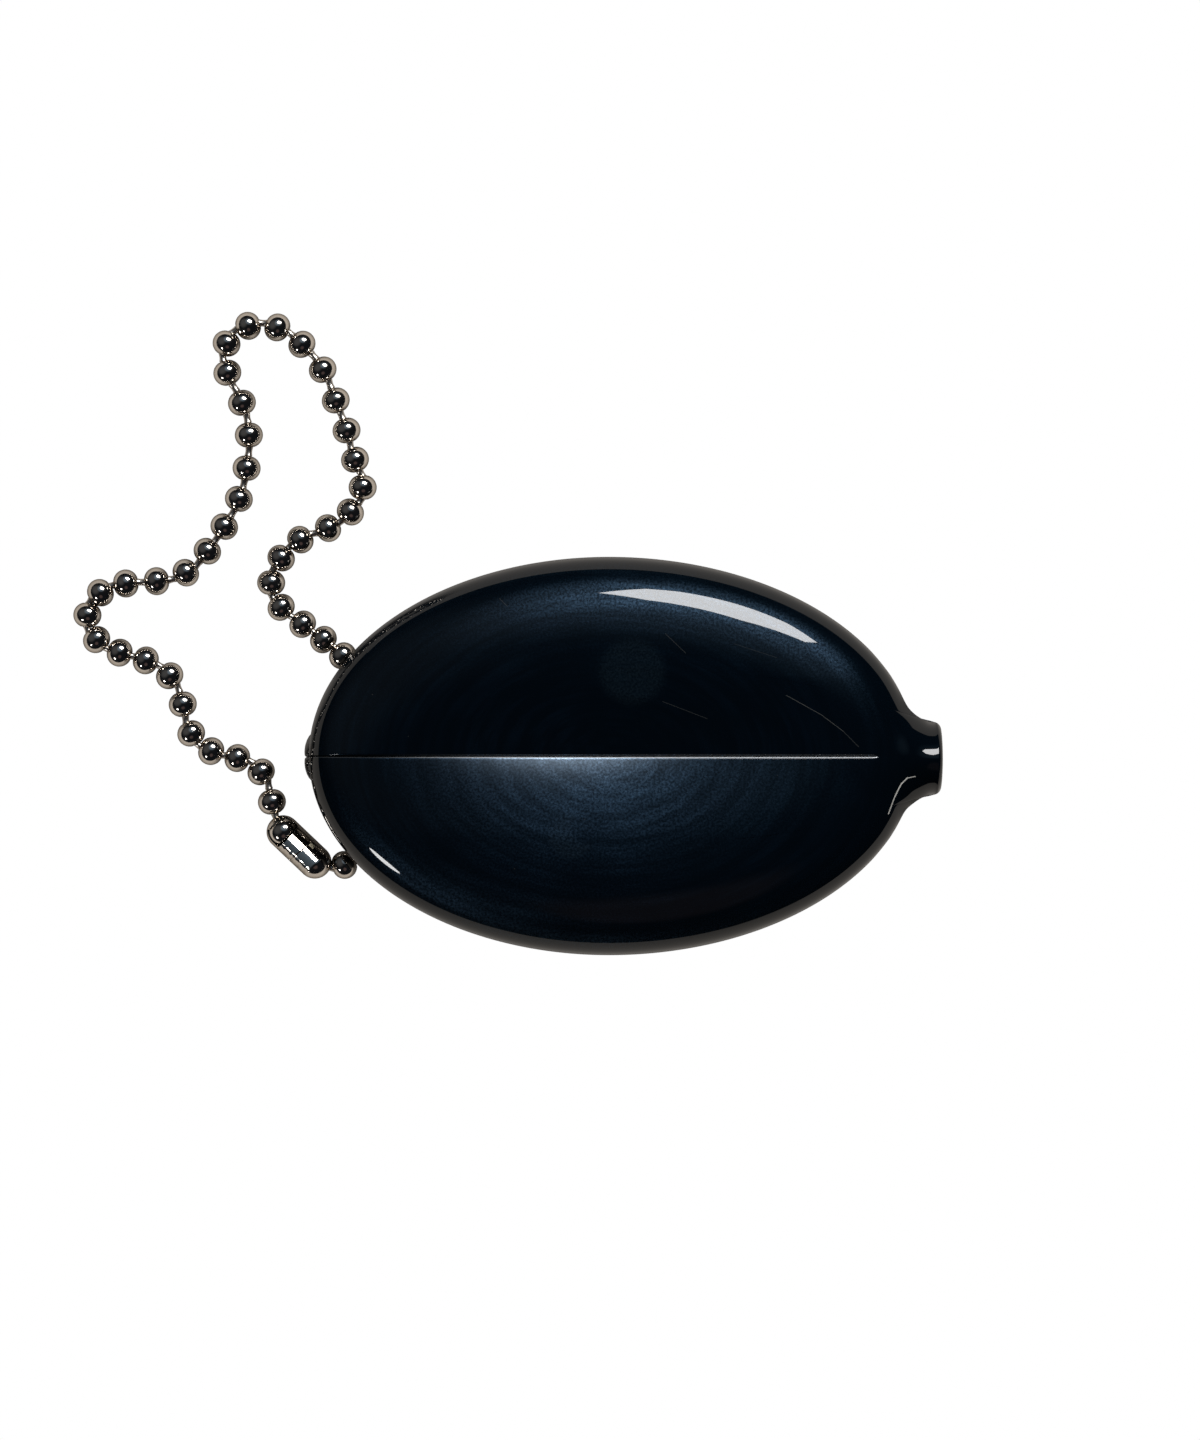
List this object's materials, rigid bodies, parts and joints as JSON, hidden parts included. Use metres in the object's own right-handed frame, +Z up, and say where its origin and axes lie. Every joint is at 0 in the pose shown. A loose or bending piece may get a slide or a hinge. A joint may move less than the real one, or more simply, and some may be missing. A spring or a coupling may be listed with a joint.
{
  "type": "squeeze coin purse",
  "caption": "Oval squeeze coin purse with a slit mouth between two flexing lips, an end neck, and a bead chain loop through a moulded ear.",
  "frame": {"origin": "point on the table under the middle of the purse's oval, in the flat it rests on", "axes": "+X along the purse towards the neck, +Y across it towards the upper lip, +Z up, out of the mouth"},
  "size_m": [0.1126, 0.0834, 0.0143],
  "materials": {
    "vinyl": "glossy black vinyl with fine handling scratches",
    "beads": "bright nickel plate",
    "pins": "bright nickel plate",
    "connector": "bright nickel plate over brass"
  },
  "bodies": {
    "purse": {"purse_body": "vinyl", "bead_45": "beads", "bead_46": "beads", "bead_47": "beads", "bead_48": "beads", "bead_49": "beads", "bead_50": "beads", "pins_hidden": "pins"},
    "upper_lip": {"upper_lip": "vinyl"},
    "lower_lip": {"lower_lip": "vinyl"},
    "loop_near": {"bead_01": "beads", "bead_02": "beads", "bead_03": "beads", "bead_36": "beads", "bead_37": "beads", "bead_38": "beads", "bead_39": "beads", "bead_40": "beads", "bead_41": "beads", "bead_42": "beads", "bead_43": "beads", "bead_44": "beads", "pins_near": "pins"},
    "connector": {"connector": "connector"},
    "loop_middle": {"bead_04": "beads", "bead_05": "beads", "bead_06": "beads", "bead_07": "beads", "bead_08": "beads", "bead_09": "beads", "bead_10": "beads", "bead_23": "beads", "bead_24": "beads", "bead_25": "beads", "bead_26": "beads", "bead_34": "beads", "bead_35": "beads", "pins_middle": "pins"},
    "top_lobe": {"bead_11": "beads", "bead_12": "beads", "bead_13": "beads", "bead_14": "beads", "bead_15": "beads", "bead_16": "beads", "bead_17": "beads", "bead_18": "beads", "bead_19": "beads", "bead_20": "beads", "bead_21": "beads", "bead_22": "beads", "pins_top": "pins"},
    "left_lobe": {"bead_27": "beads", "bead_28": "beads", "bead_29": "beads", "bead_30": "beads", "bead_31": "beads", "bead_32": "beads", "bead_33": "beads", "pins_left": "pins"}
  },
  "joints": [
    {"name": "upper_lip_open", "type": "hinge", "parent": "purse", "child": "upper_lip", "pos_m": [0, 0.011, 0.0143], "axis": [-1, 0, 0], "range_deg": [0, 60], "stiffness_Nm_per_rad": 0.002},
    {"name": "lower_lip_open", "type": "hinge", "parent": "purse", "child": "lower_lip", "pos_m": [0, -0.011, 0.0143], "axis": [1, 0, 0], "range_deg": [0, 60], "stiffness_Nm_per_rad": 0.002},
    {"name": "chain_swing", "type": "hinge", "parent": "purse", "child": "loop_near", "pos_m": [-0.03274, 0.00096, 0.00189], "axis": [-0.0589, 0.9983, -0.0002], "range_deg": [-88, 40]},
    {"name": "connector_roll", "type": "hinge", "parent": "loop_near", "child": "connector", "pos_m": [-0.0423, -0.0099, 0.00217], "axis": [0.7246, -0.6892, 0], "range_deg": [-10, 10]},
    {"name": "middle_bend", "type": "hinge", "parent": "loop_near", "child": "loop_middle", "pos_m": [-0.04836, 0.01181, 0.00177], "axis": [0.7203, 0.6936, -0.0001], "range_deg": [-20, 20]},
    {"name": "top_bend", "type": "hinge", "parent": "loop_middle", "child": "top_lobe", "pos_m": [-0.03991, 0.0366, 0.00177], "axis": [0.9969, 0.0791, 0], "range_deg": [-20, 20]},
    {"name": "left_bend", "type": "hinge", "parent": "loop_middle", "child": "left_lobe", "pos_m": [-0.05814, 0.01739, 0.00177], "axis": [0.1339, 0.991, 0], "range_deg": [-20, 20]}
  ],
  "couplings": [
    {"joint": "lower_lip_open", "follows": "upper_lip_open", "ratio": 1}
  ]
}
